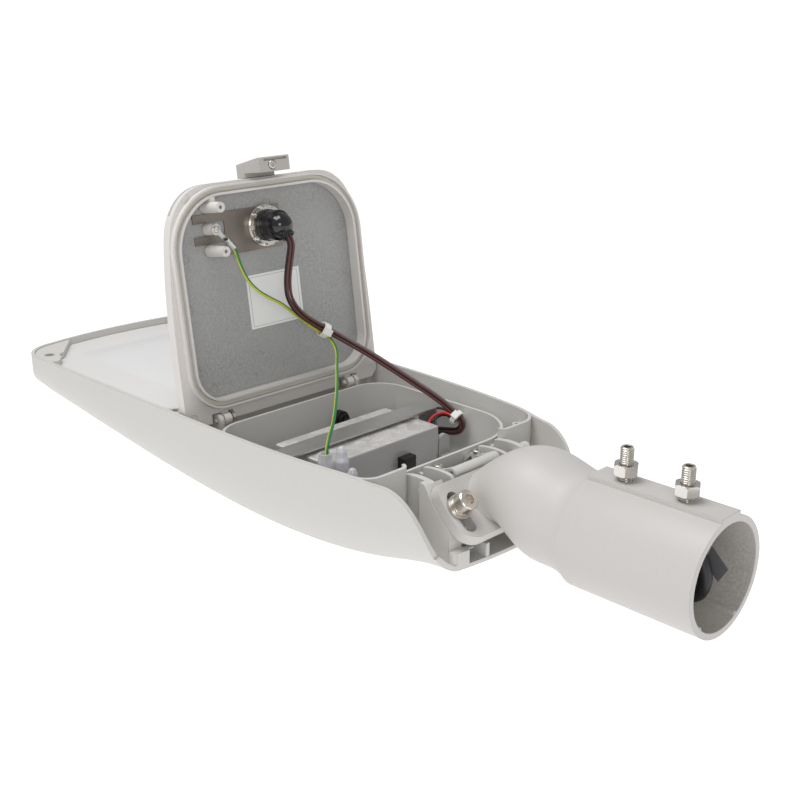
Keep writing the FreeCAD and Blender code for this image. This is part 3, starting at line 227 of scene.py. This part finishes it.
def turnedSteel(name, color, rough=0.24, lines=900.0, stretch=(1.0, 1.0, 0.06), edge=0.0004):
    f = Finish(name)
    where = f.place()
    streak = f.noise(f.stretched(where, stretch), lines, 2.0)
    patch = f.noise(where, 140.0, 3.0)
    shade = f.mixed(patch, darker(color, 0.82), color)
    normal = f.bump(streak, 0.12, 0.0001, f.rounded(edge))
    return f.surface(Base_Color=shade, Metallic=1.0, Roughness=rough + 0.22 * (streak - 0.5), Normal=normal)


def zincSheet(name, color, side):
    f = Finish(name)
    where = f.place()
    spangle = f.node("ShaderNodeTexVoronoi", {"feature": "F1"}, {"Vector": where, "Scale": 170.0},
                     out="Color")
    flake = f.node("ShaderNodeSeparateColor", None, {0: spangle}, out=0)
    shade = f.mixed(flake, darker(color, 0.84), darker(color, 1.06))
    fine = f.noise(where, 900.0, 3.0, 0.7)
    shade = f.mixed(f.ramp(fine, [(0.4, 0.0), (0.6, 1.0)]), darker(color, 0.8), shade)
    # faces that do not look up take the darker side grey: partly the sides' own plainer finish, partly
    # painted shade where they turn away from the top light
    facing = f.node("ShaderNodeTexCoord", out="Normal")
    upward = f.node("ShaderNodeSeparateXYZ", None, {0: facing}, out="Z") > 0.6
    shade = f.mixed(upward, f.mixed(fine, darker(side, 0.94), side), shade)
    normal = f.bump(fine, 0.12, 0.0002, f.rounded(0.0008))
    return f.surface(Base_Color=shade, Metallic=0.35 + 0.3 * upward, Roughness=0.4 + 0.14 * flake,
                     Normal=normal)


def moulded(name, color, rough=0.42, grain=0.5, edge=0.0004, sheen=0.4):
    f = Finish(name)
    where = f.place()
    cloud = f.noise(where, 40.0, 3.0)
    skin = f.noise(where, 1100.0, 2.0)
    shade = f.mixed(cloud, darker(color, 0.90), darker(color, 1.06))
    normal = f.bump(skin, 0.15 * grain, 0.0002, f.rounded(edge))
    return f.surface(Base_Color=shade, Roughness=rough + 0.1 * (cloud - 0.5), Normal=normal,
                     Specular_IOR_Level=sheen)


def clearPlastic(name, color, alpha):
    f = Finish(name)
    where = f.place()
    cloud = f.noise(where, 160.0, 3.0)
    shade = f.mixed(cloud, darker(color, 0.86), color)
    return f.surface(Base_Color=shade, Roughness=0.12 + 0.1 * cloud, Alpha=alpha + 0.16 * (cloud - 0.5),
                     IOR=1.49, Coat_Weight=0.4, Normal=f.rounded(0.0004))


def printedGlass(name):
    # pale printed border round a nearly white window
    f = Finish(name)
    along, across = f.axis("X"), f.axis("Y")
    window = (along < windowSize["rear"]) * (along > windowSize["front"]) * (abs(across) < windowSize["half"])
    border = 1 - window
    speck = f.noise(f.place(), 700.0, 2.0)
    frost = f.mixed(speck, tone(226, 225, 223), tone(232, 230, 228))
    shade = f.mixed(border, tone(250, 250, 250), frost)
    return f.surface(Base_Color=shade, Roughness=0.07 + 0.12 * border, Alpha=0.80 + 0.20 * border,
                     Coat_Weight=0.6, IOR=1.5)


def insulation(name, color, stripe=None):
    f = Finish(name)
    where = f.place()
    cloud = f.noise(where, 90.0, 2.0)
    shade = f.mixed(cloud, darker(color, 0.86), darker(color, 1.1))
    if stripe:
        around = f.node("ShaderNodeAttribute", {"attribute_name": "around"}, out="Fac")
        shade = f.mixed(around > earthStripe["edge"], shade, stripe)
    return f.surface(Base_Color=shade, Roughness=0.34 + 0.08 * cloud, Specular_IOR_Level=0.45)


def plainLabel(name, color):
    # the rating label without its print: a bare sheet with a fine line along its edge
    f = Finish(name)
    across = f.node("ShaderNodeAttribute", {"attribute_name": "across"}, out="Fac")
    along = f.node("ShaderNodeAttribute", {"attribute_name": "along"}, out="Fac")
    outer, inner = [(abs(across) < share) * (abs(along) < share) for share in labelLine]
    line = outer * (1 - inner)
    cloud = f.noise(f.place(), 120.0, 3.0)
    shade = f.mixed(line, f.mixed(cloud, darker(color, 0.96), color), tone(186, 186, 186))
    return f.surface(Base_Color=shade, Roughness=0.42 + 0.06 * cloud, Specular_IOR_Level=0.35)


def coverFloor(f):
    # the bare speckled floor inside the open cover, between its rims
    lean = openAngle - math.pi / 2
    depth = (f.axis("X") - hinge.x) * math.cos(lean) + (f.axis("Z") - hinge.z) * math.sin(lean)
    floorOnly = (depth > coverInside["low"]) * (depth < coverInside["high"])
    return floorOnly * (abs(f.axis("Y")) < coverInside["half"])


def boreWall(f):
    # the rough wall of the pole bore
    x, y, z = f.axis("X"), f.axis("Y"), f.axis("Z")
    return (y * y + z * z < bore["radius"] ** 2) * (x < bore["mouth"]) * (x > bore["end"])


finishes = {
    "body_paint": powderCoat("bodyPaint", tone(207, 205, 201), 0.7),
    "arm_paint": powderCoat("armPaint", tone(201, 198, 195), 0.6, bare=boreWall,
                            bareColor=tone(190, 186, 180)),
    "cover_paint": powderCoat("coverPaint", tone(218, 214, 210), 1.0, bare=coverFloor,
                              bareColor=tone(163, 163, 162)),
    "bright_steel": turnedSteel("brightSteel", tone(222, 217, 209), 0.32),
    "warm_steel": turnedSteel("warmSteel", tone(234, 227, 218), 0.24, 600.0, (1.0, 0.1, 1.0)),
    "tinned": turnedSteel("tinned", tone(226, 226, 222), 0.3),
    "nut_metal": turnedSteel("nutMetal", tone(222, 219, 214), 0.2, 500.0),
    "earth_metal": turnedSteel("earthMetal", tone(150, 142, 133), 0.42, 300.0, (1.0, 0.2, 1.0)),
    "latch_metal": powderCoat("latchPaint", tone(182, 178, 173), 1.0),
    "glass": printedGlass("printedGlass"),
    "seal_grey": moulded("sealGrey", tone(150, 150, 148), 0.7),
    "seal_cream": moulded("sealCream", tone(212, 210, 200), 0.75, 1.2),
    "driver_alu": turnedSteel("driverMetal", tone(206, 206, 204), 0.42, 420.0, (1.0, 0.05, 1.0), 0.0008),
    "board_white": moulded("boardWhite", tone(240, 240, 236), 0.5),
    "lens_clear": moulded("lensClear", tone(240, 241, 241), 0.1, 0.1),
    "plastic_grey": moulded("plasticGrey", tone(168, 171, 169), 0.5),
    "plastic_black": moulded("plasticBlack", tone(32, 32, 33), 0.34),
    "rubber_black": moulded("rubberBlack", tone(14, 14, 18), 0.1, 0.2, 0.001, 0.7),
    # the second tone is the darker grey of the sides, partly their own finish and partly painted shade
    "galvanised": zincSheet("galvanised", tone(240, 237, 234), tone(186, 185, 186)),
    "cap_clear": clearPlastic("capClear", tone(236, 236, 242), 0.52),
    "plastic_white": moulded("plasticWhite", tone(238, 238, 234), 0.36),
    "nylon": moulded("nylon", tone(214, 210, 202), 0.4),
    "wire_red": insulation("wireRed", tone(196, 26, 20)),
    "wire_black": insulation("wireBlack", tone(34, 30, 31)),
    "wire_brown": insulation("wireBrown", tone(88, 52, 50)),
    "wire_blue": insulation("wireBlue", tone(58, 92, 160)),
    "wire_grey": insulation("wireGrey", tone(116, 113, 113)),
    "wire_earth": insulation("wireEarth", tone(44, 122, 66), tone(206, 204, 60)),
    "label_white": plainLabel("labelWhite", tone(240, 240, 238)),
    "cable_black": insulation("cableBlack", tone(38, 38, 40)),
    "flag_grey": moulded("flagGrey", tone(104, 104, 107), 0.38, 0.2),
}
print("stage: finishes made")


# pieces of the frame with smooth faces
slotOf = {row["node"]: row["material_slot"] for row in frame["record"]["subparts"]}
bodyOf = {node: body for body, members in frame["record"]["behaviour"]["bodies"].items() for node in members}


def dress(name, finish=None):
    # a merged copy of the solid, smooth but for its real edges
    made = bmesh.new()
    made.from_mesh(nodes[name].data)
    bmesh.ops.remove_doubles(made, verts=made.verts, dist=near)
    bmesh.ops.dissolve_degenerate(made, edges=made.edges, dist=near)
    for face in made.faces:
        face.smooth = True
    for edge in made.edges:
        if len(edge.link_faces) != 2 or edge.calc_face_angle(0.0) > sharp["solid"]:
            edge.smooth = False
    mesh = bpy.data.meshes.new(name + "Shell")
    made.to_mesh(mesh)
    made.free()
    piece = bpy.data.objects.new(name + "Shell", mesh)
    scene.collection.objects.link(piece)
    mesh.materials.append(finishes[finish or slotOf[name]])
    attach(piece, bodyOf[name])
    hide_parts(name)
    return piece


# cords, repeated from the part's source, in metres
def onCover(u, v, d):
    # a point of the open cover: u across, v away from the hinge, d out of its inner side
    x, z = v, -d
    return Vector((hinge.x + x * math.cos(openAngle) - z * math.sin(openAngle), u,
                   hinge.z + x * math.sin(openAngle) + z * math.cos(openAngle)))


def spline(name, points, thickness):
    # the wire's own line, then a mesh tube round it
    curve = bpy.data.curves.new(name, "CURVE")
    curve.dimensions = "3D"
    line = curve.splines.new("NURBS")
    line.points.add(len(points) - 1)
    for point, where in zip(line.points, points):
        point.co = (*where, 1.0)
    line.order_u = 3
    line.use_endpoint_u = True
    line.resolution_u = 8
    holder = bpy.data.objects.new(name + "Line", curve)
    scene.collection.objects.link(holder)
    graph = bpy.context.evaluated_depsgraph_get()
    bare = bpy.data.meshes.new_from_object(holder.evaluated_get(graph))
    path = [v.co.copy() for v in bare.vertices]
    curve.bevel_depth = thickness / 2
    curve.bevel_resolution = 3
    curve.use_fill_caps = True
    holder.update_tag()
    graph.update()
    mesh = bpy.data.meshes.new_from_object(holder.evaluated_get(graph))
    mesh.name = name
    bpy.data.objects.remove(holder)
    bpy.data.meshes.remove(bare)
    mesh.polygons.foreach_set("use_smooth", [True] * len(mesh.polygons))
    tube = bpy.data.objects.new(name, mesh)
    scene.collection.objects.link(tube)
    return tube, path


def markAround(tube, path):
    # how far the skin faces the stripe's side of the wire, from -1 to 1
    mesh = tube.data
    mark = mesh.attributes.new("around", "FLOAT", "POINT")
    for vertex in mesh.vertices:
        k = min(range(len(path)), key=lambda i: (path[i] - vertex.co).length_squared)
        ahead = (path[min(k + 1, len(path) - 1)] - path[max(k - 1, 0)]).normalized()
        side = ahead.cross(earthStripe["side"]).normalized()
        out = vertex.co - path[k]
        angle = math.atan2(out.dot(ahead.cross(side)), out.dot(side))
        eased = earthStripe["eased"] * max(0.0, 1 - earthStripe["over"] * k / len(path))
        mark.data[vertex.index].value = math.cos(angle - earthStripe["turned"] - eased)


wires = {"pitch": 0.0019, "turned": 0.3, "core": 0.0019, "earth": 0.0024, "mains": 0.003, "past": 0.001}
tieIn, tieOut = (0.024, 0.051, 0.012), (0.0352, 0.0432, 0.0146)
wallTie = Vector((-0.2573, 0.073, 0.0062))
wallRun = Vector((0.85, 0.12, -0.51)).normalized()
hang = [(0.0016, 0.1199, 0.0164), (0.003, 0.1142, 0.0194), (0.0014, 0.1066, 0.0188),
        (-0.0012, 0.0966, 0.0178), (-0.0024, 0.086, 0.0162), (-0.0012, 0.0756, 0.0146),
        (0.0052, 0.0658, 0.013), (0.014, 0.058, 0.012), tieIn, tieOut]
drop = [(-0.329, 0.0426, 0.049), (-0.3136, 0.05, 0.0406), (-0.2893, 0.0592, 0.0278), (-0.271, 0.068, 0.0166)]
away = [wallTie - wallRun * 0.006, wallTie + wallRun * 0.0036, (-0.2531, 0.0735, -0.0001),
        (-0.2555, 0.073, -0.0041), (-0.26, 0.0726, -0.006), (-0.2668, 0.0736, -0.0076),
        (-0.2756, 0.0749, -0.01), (-0.2864, 0.0753, -0.0124), (-0.297, 0.0736, -0.0132),
        (-0.3052, 0.067, -0.0115), (-0.306, 0.059, -0.0105), (-0.3058, 0.0522, -0.0104)]
harness = [onCover(*p) for p in hang] + [Vector(p) for p in drop + away]


def sideBySide(path, count):
    # the lines of the wires that lie round one path
    ahead = [(b - a).normalized() for a, b in zip([path[0]] + path[:-1], path[1:] + [path[-1]])]
    up = Vector((0, 0, 1))
    normal = (up.cross(ahead[0]) if abs(ahead[0].z) < 0.9 else Vector((0, 1, 0)).cross(ahead[0])).normalized()
    rows = [[] for k in range(count)]
    for point, tangent in zip(path, ahead):
        normal = (normal - tangent * normal.dot(tangent)).normalized()
        other = tangent.cross(normal)
        for k, row in enumerate(rows):
            angle = 2 * math.pi * k / count + wires["turned"]
            row.append(point + (normal * math.cos(angle) + other * math.sin(angle)) * wires["pitch"])
    return rows


def layCord(name, points, thickness, slot, crossing=None, carried=()):
    # a wire in place of its solid; with a crossing it stays fixed in the world instead of riding on the lamp
    tube, path = spline(name + "Wire", [Vector(p) for p in points], thickness)
    if slot == "wire_earth":
        markAround(tube, path)
    tube.data.materials.append(finishes[slot])
    if crossing:
        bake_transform(tube)
    else:
        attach(tube, "lamp")
    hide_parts(name)


# the harness tie goes with the wires
harnessRun = (onCover(*tieOut), wallTie)
tie = dress("harness_tie")
tie.parent = None
del tie["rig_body"]
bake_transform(tie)
for name, row in zip(("wire_grey", "wire_brown_a", "wire_brown_b", "wire_black_a", "wire_black_b"),
                     sideBySide(harness, 5)):
    slot = "_".join(name.split("_")[:2])
    layCord(name, row, wires["core"], slot, crossing=harnessRun, carried=[tie] if slot == "wire_grey" else ())

# the earth wire leaves its sleeve, passes the harness tie and drops into the open cap
boss = {"u": -0.0484, "v": 0.1294, "turn": math.radians(40)}
passing = {"aside": 0.00435, "along": 0.007}
earthCap = (-0.2525, -0.057)
tieA, tieB = onCover(*tieIn), onCover(*tieOut)
tieRun = (tieB - tieA).normalized()
tieSide = Vector((-0.63, -0.18, -0.76))
tieSide = (tieSide - tieRun * tieSide.dot(tieRun)).normalized()
tieMiddle = (tieA + tieB) / 2
earthRow = [onCover(boss["u"] + r * math.sin(boss["turn"]), boss["v"] - r * math.cos(boss["turn"]), 0.006)
            for r in (0.013, 0.020)]
earthRow += [onCover(-0.035, 0.104, 0.008), onCover(-0.0312, 0.093, 0.0086), onCover(-0.024, 0.0842, 0.009),
             onCover(-0.0142, 0.0774, 0.0088), onCover(-0.004, 0.0718, 0.008), onCover(0.0074, 0.0626, 0.007),
             tieMiddle + tieSide * passing["aside"] - tieRun * passing["along"],
             tieMiddle + tieSide * passing["aside"] + tieRun * passing["along"]]
earthRow += [Vector(p) for p in ((-0.330, 0.024, 0.0502), (-0.3154, 0.0101, 0.0443),
                                 (-0.3007, -0.0029, 0.0384), (-0.2832, -0.0201, 0.0317),
                                 (-0.2663, -0.0379, 0.0258))]
earthRow += [Vector((earthCap[0] - 0.0009, earthCap[1] + 0.0019, 0.0206)), Vector((*earthCap, 0.008))]
layCord("wire_earth", earthRow, wires["earth"], "wire_earth",
        crossing=(tieMiddle, Vector((*earthCap, 0.014))))

# the driver's leads, each on its own side of the wires in the wall tie
leads = {
    "red": {"side": (0.1, -0.98, -0.1), "off": 0.0042, "back": 0.0045,
            "rest": [(-0.2686, 0.0672, 0.0076), (-0.2722, 0.0614, 0.0048), (-0.2706, 0.0558, 0.0004),
                     (-0.2682, 0.053, -0.0046)]},
    "black": {"side": (-0.35, -0.52, -0.78), "off": 0.00395, "back": 0.0045,
              "rest": [(-0.2706, 0.0706, 0.005), (-0.2746, 0.0654, 0.0006), (-0.2756, 0.0584, -0.003),
                       (-0.2754, 0.0522, -0.0044)]},
    "brown": {"side": (-0.5, 0.35, -0.8), "off": 0.00395, "back": 0.005,
              "rest": [(-0.273, 0.0752, 0.0076), (-0.286, 0.0756, 0.0046), (-0.298, 0.074, 0.0006),
                       (-0.305, 0.067, -0.0026), (-0.3064, 0.0586, -0.0044), (-0.306, 0.0522, -0.005)]}}
for color, lead in leads.items():
    held = wallTie + Vector(lead["side"]) * lead["off"]
    layCord("lead_" + color, [held + wallRun * wires["past"], held - wallRun * lead["back"]] + lead["rest"],
            wires["core"], "wire_" + color)

# the mains cores, from the grommet up into their caps
layCord("mains_core_a", [(-0.2102, -0.0054, -0.0136), (-0.217, -0.0084, -0.0154), (-0.23, -0.018, -0.021),
                         (-0.242, -0.032, -0.0226), (-0.2496, -0.0418, -0.0164), (-0.2505, -0.0452, -0.0054),
                         (-0.2505, -0.0452, 0.006)], wires["mains"], "wire_brown")
layCord("mains_core_b", [(-0.2104, -0.0022, -0.0146), (-0.216, -0.0054, -0.02), (-0.221, -0.018, -0.0254),
                         (-0.2226, -0.036, -0.0268), (-0.2212, -0.053, -0.021), (-0.2205, -0.0616, -0.008),
                         (-0.2205, -0.0633, 0.005)], wires["mains"], "wire_blue")
print("stage: cords laid")


# solids that wear another finish than their slot's, and nodes dressed elsewhere
finishOf = {"cover": "cover_paint", "driver_case": "galvanised", "strap": "driver_alu",
            "tilt_bolts": "warm_steel", "spring_washers": "warm_steel", "set_screw_nuts": "nut_metal"}
done = {"wire_grey", "wire_brown_a", "wire_brown_b", "wire_black_a", "wire_black_b", "wire_earth", "lead_red",
        "lead_black", "lead_brown", "mains_core_a", "mains_core_b", "harness_tie", "set_screws"}
for name in sorted(set(nodes) - done):
    dress(name, finish=finishOf.get(name))

# how far each corner of the label is across and along it
label = bpy.data.objects["rating_labelShell"]
labelSpan = {"across": (-0.021, 0.027), "along": (0.055, 0.093)}
for key, (low, high) in labelSpan.items():
    mark = label.data.attributes.new(key, "FLOAT", "POINT")
    for vertex in label.data.vertices:
        offset = vertex.co - hinge
        far = offset.x * math.cos(openAngle) + offset.z * math.sin(openAngle)
        spot = vertex.co.y if key == "across" else far
        mark.data[vertex.index].value = (2 * spot - low - high) / (high - low)
print("stage: solids dressed")


# set screws with a real thread and a hexagon socket
thread = {"pitch": 0.00125, "root": 0.0033, "crest": 0.00394, "steps": 24, "low": 0.0314, "high": 0.056,
          "chamfer": 0.0007, "socket": 0.004, "rim": 0.0004, "deep": 0.0045, "places": (-0.066, -0.027)}


def setScrew(x):
    made = bmesh.new()
    pitch = thread["pitch"]
    start = thread["low"] - 2 * pitch
    line = []
    for k in range(int((thread["high"] - start) / pitch) + 2):
        line += [(thread["root"], start + k * pitch), (thread["crest"], start + (k + 0.5) * pitch)]
    corners = [made.verts.new((r, 0, z)) for r, z in line]
    sides = [made.edges.new(pair) for pair in zip(corners, corners[1:])]
    bmesh.ops.spin(made, geom=corners + sides, cent=(0, 0, 0), axis=(0, 0, 1), angle=2 * math.pi,
                   dvec=(0, 0, pitch / thread["steps"]), steps=thread["steps"], use_duplicate=False)
    bmesh.ops.remove_doubles(made, verts=made.verts, dist=near)
    for z, above in ((thread["low"], True), (thread["high"], False)):
        bmesh.ops.bisect_plane(made, geom=made.verts[:] + made.edges[:] + made.faces[:], plane_co=(0, 0, z),
                               plane_no=(0, 0, 1), clear_inner=above, clear_outer=not above)
        rim = [e for e in made.edges if e.is_boundary and all(abs(v.co.z - z) < near for v in e.verts)]
        bmesh.ops.edgeloop_fill(made, edges=rim)
    for vertex in made.verts:
        end = min(thread["high"] - vertex.co.z, vertex.co.z - thread["low"])
        most = thread["crest"] - max(0.0, thread["chamfer"] - end)
        radius = math.hypot(vertex.co.x, vertex.co.y)
        if radius > most:
            vertex.co.x *= most / radius
            vertex.co.y *= most / radius
    top = max(made.faces, key=lambda face: face.calc_center_median().z)
    bmesh.ops.inset_region(made, faces=[top], thickness=thread["rim"], use_even_offset=False)
    for vertex in top.verts:
        turned = math.atan2(vertex.co.y, vertex.co.x) % (math.pi / 3) - math.pi / 6
        reach = thread["socket"] / 2 / math.cos(turned) / math.hypot(vertex.co.x, vertex.co.y)
        vertex.co.x *= reach
        vertex.co.y *= reach
    pushed = bmesh.ops.extrude_face_region(made, geom=[top])["geom"]
    for vertex in pushed:
        if isinstance(vertex, bmesh.types.BMVert):
            vertex.co.z -= thread["deep"]
    if top.is_valid:
        bmesh.ops.delete(made, geom=[top], context="FACES_ONLY")
    bmesh.ops.recalc_face_normals(made, faces=made.faces)
    bmesh.ops.translate(made, verts=made.verts, vec=(x, 0, 0))
    return made


def keep(name, made, finish):
    # a finished piece from its bmesh, smooth but for its real edges
    for face in made.faces:
        face.smooth = True
    for edge in made.edges:
        edge.smooth = len(edge.link_faces) == 2 and edge.calc_face_angle(0.0) < sharp["made"]
    mesh = bpy.data.meshes.new(name)
    made.to_mesh(mesh)
    made.free()
    mesh.materials.append(finishes[finish])
    piece = bpy.data.objects.new(name, mesh)
    scene.collection.objects.link(piece)
    return piece


both = bmesh.new()
for x in thread["places"]:
    one = setScrew(x)
    mesh = bpy.data.meshes.new("oneScrew")
    one.to_mesh(mesh)
    one.free()
    both.from_mesh(mesh)
    bpy.data.meshes.remove(mesh)
screws = keep("setScrewThreads", both, "bright_steel")
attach(screws, "arm")
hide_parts("set_screws")
print("stage: threads cut")

# two low ribs along the wall of the pole bore
ribs = {"rise": 0.0016, "foot": 0.5, "crown": 0.28, "width": 0.0034, "low": 0.7, "ramp": 0.0005,
        "mouth": -0.0003, "end": -0.083, "places": ((-0.0215, -0.0232), (0.0142, -0.0259))}
made = bmesh.new()
for y, z in ribs["places"]:
    angle = math.atan2(z, y)
    out, side = Vector((0, math.cos(angle), math.sin(angle))), Vector((0, -math.sin(angle), math.cos(angle)))
    ring = []
    foot, crown = side * ribs["width"] * ribs["foot"], side * ribs["width"] * ribs["crown"]
    wall = out * bore["radius"]
    for x, share in ((ribs["mouth"], ribs["low"]), (ribs["mouth"] - ribs["ramp"], 1.0), (ribs["end"], 1.0)):
        top = out * (bore["radius"] - ribs["rise"] * share)
        ends = (wall + foot, top + crown, top - crown, wall - foot)
        ring.append([made.verts.new((x, p.y, p.z)) for p in ends])
    for first, second in zip(ring, ring[1:]):
        for k in range(4):
            made.faces.new((first[k], first[(k + 1) % 4], second[(k + 1) % 4], second[k]))
    made.faces.new(ring[0])
    made.faces.new(ring[-1])
bmesh.ops.recalc_face_normals(made, faces=made.faces)
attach(keep("boreRibs", made, "arm_paint"), "arm")

# the mains cable through the neck into the bore, with its bare flag tag
mains = {"thick": 0.008, "route": [
    (-0.185, -0.004, -0.014), (-0.173, -0.004, -0.0145), (-0.16, -0.004, -0.008), (-0.146, -0.004, 0.0),
    (-0.13, -0.004, 0.006), (-0.112, -0.005, 0.010), (-0.092, -0.005, 0.015), (-0.07, -0.004, 0.020),
    (-0.05, -0.002, 0.0225), (-0.033, 0.001, 0.020), (-0.0225, 0.0035, 0.011), (-0.0155, 0.005, -0.001),
    (-0.0145, 0.006, -0.013), (-0.021, 0.007, -0.0225), (-0.036, 0.008, -0.0248), (-0.054, 0.0085, -0.0248)]}
flag = {"thick": 0.0004, "corners": [(-0.0162, 0.012, 0.0087), (-0.0054, 0.012, -0.0018),
                                     (-0.0106, 0.012, -0.0109), (-0.0199, 0.012, -0.0027)]}
made = bmesh.new()
front = [made.verts.new(p) for p in flag["corners"]]
back = [made.verts.new((x, y + flag["thick"], z)) for x, y, z in flag["corners"]]
made.faces.new(front)
made.faces.new(back)
for k in range(4):
    made.faces.new((front[k], front[(k + 1) % 4], back[(k + 1) % 4], back[k]))
bmesh.ops.recalc_face_normals(made, faces=made.faces)
tag = keep("flagTag", made, "flag_grey")
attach(tag, "arm")
cable, run = spline("mainsCable", [Vector(p) for p in mains["route"]], mains["thick"])
cable.data.materials.append(finishes["cable_black"])
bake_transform(cable)
print("stage: cable laid")


# floor and light
studio = {"depth": -0.0475, "size": 90.0, "paper": tone(164, 164, 164), "glow": 0.85, "sky": 0.44}
ground = bmesh.new()
bmesh.ops.create_grid(ground, x_segments=2, y_segments=2, size=studio["size"],
                      matrix=Matrix.Translation((0, 0, studio["depth"])))
floorMesh = bpy.data.meshes.new("floor")
ground.to_mesh(floorMesh)
ground.free()
floor = bpy.data.objects.new("floor", floorMesh)
scene.collection.objects.link(floor)
paper = Finish("paper")
floorMesh.materials.append(paper.surface(Base_Color=studio["paper"], Roughness=0.9, Specular_IOR_Level=0.1,
                                         Emission_Color=white, Emission_Strength=studio["glow"]))

# the camera sees a white backdrop, and the pieces are lit by a dimmer one
world = bpy.data.worlds.new("studio")
world.use_nodes = True
sky = world.node_tree.nodes["Background"]
sky.inputs["Color"].default_value = white
sky.inputs["Strength"].default_value = studio["sky"]
seen = world.node_tree.nodes.new("ShaderNodeBackground")
seen.inputs["Color"].default_value = white
ray = world.node_tree.nodes.new("ShaderNodeLightPath")
chosen = world.node_tree.nodes.new("ShaderNodeMixShader")
for source, target in ((ray.outputs["Is Camera Ray"], chosen.inputs[0]), (sky.outputs[0], chosen.inputs[1]),
                       (seen.outputs[0], chosen.inputs[2]),
                       (chosen.outputs[0], world.node_tree.nodes["World Output"].inputs["Surface"])):
    world.node_tree.links.new(source, target)
scene.world = world


def softbox(name, place, target, size, power):
    lamp = bpy.data.lights.new(name, "AREA")
    lamp.shape = "SQUARE"
    lamp.size = size
    lamp.energy = power
    holder = bpy.data.objects.new(name, lamp)
    holder.location = place
    holder.rotation_mode = "QUATERNION"
    holder.rotation_quaternion = (Vector(target) - Vector(place)).to_track_quat("-Z", "Y")
    scene.collection.objects.link(holder)


softbox("topBox", (-0.46, -0.30, 1.2), (-0.36, 0, 0), 0.8, 10.5)
softbox("viewBox", (0.9, -0.9, 0.6), (-0.3, 0, 0), 0.5, 3.6)
scene.view_settings.view_transform = "Standard"
print("stage: studio lit")
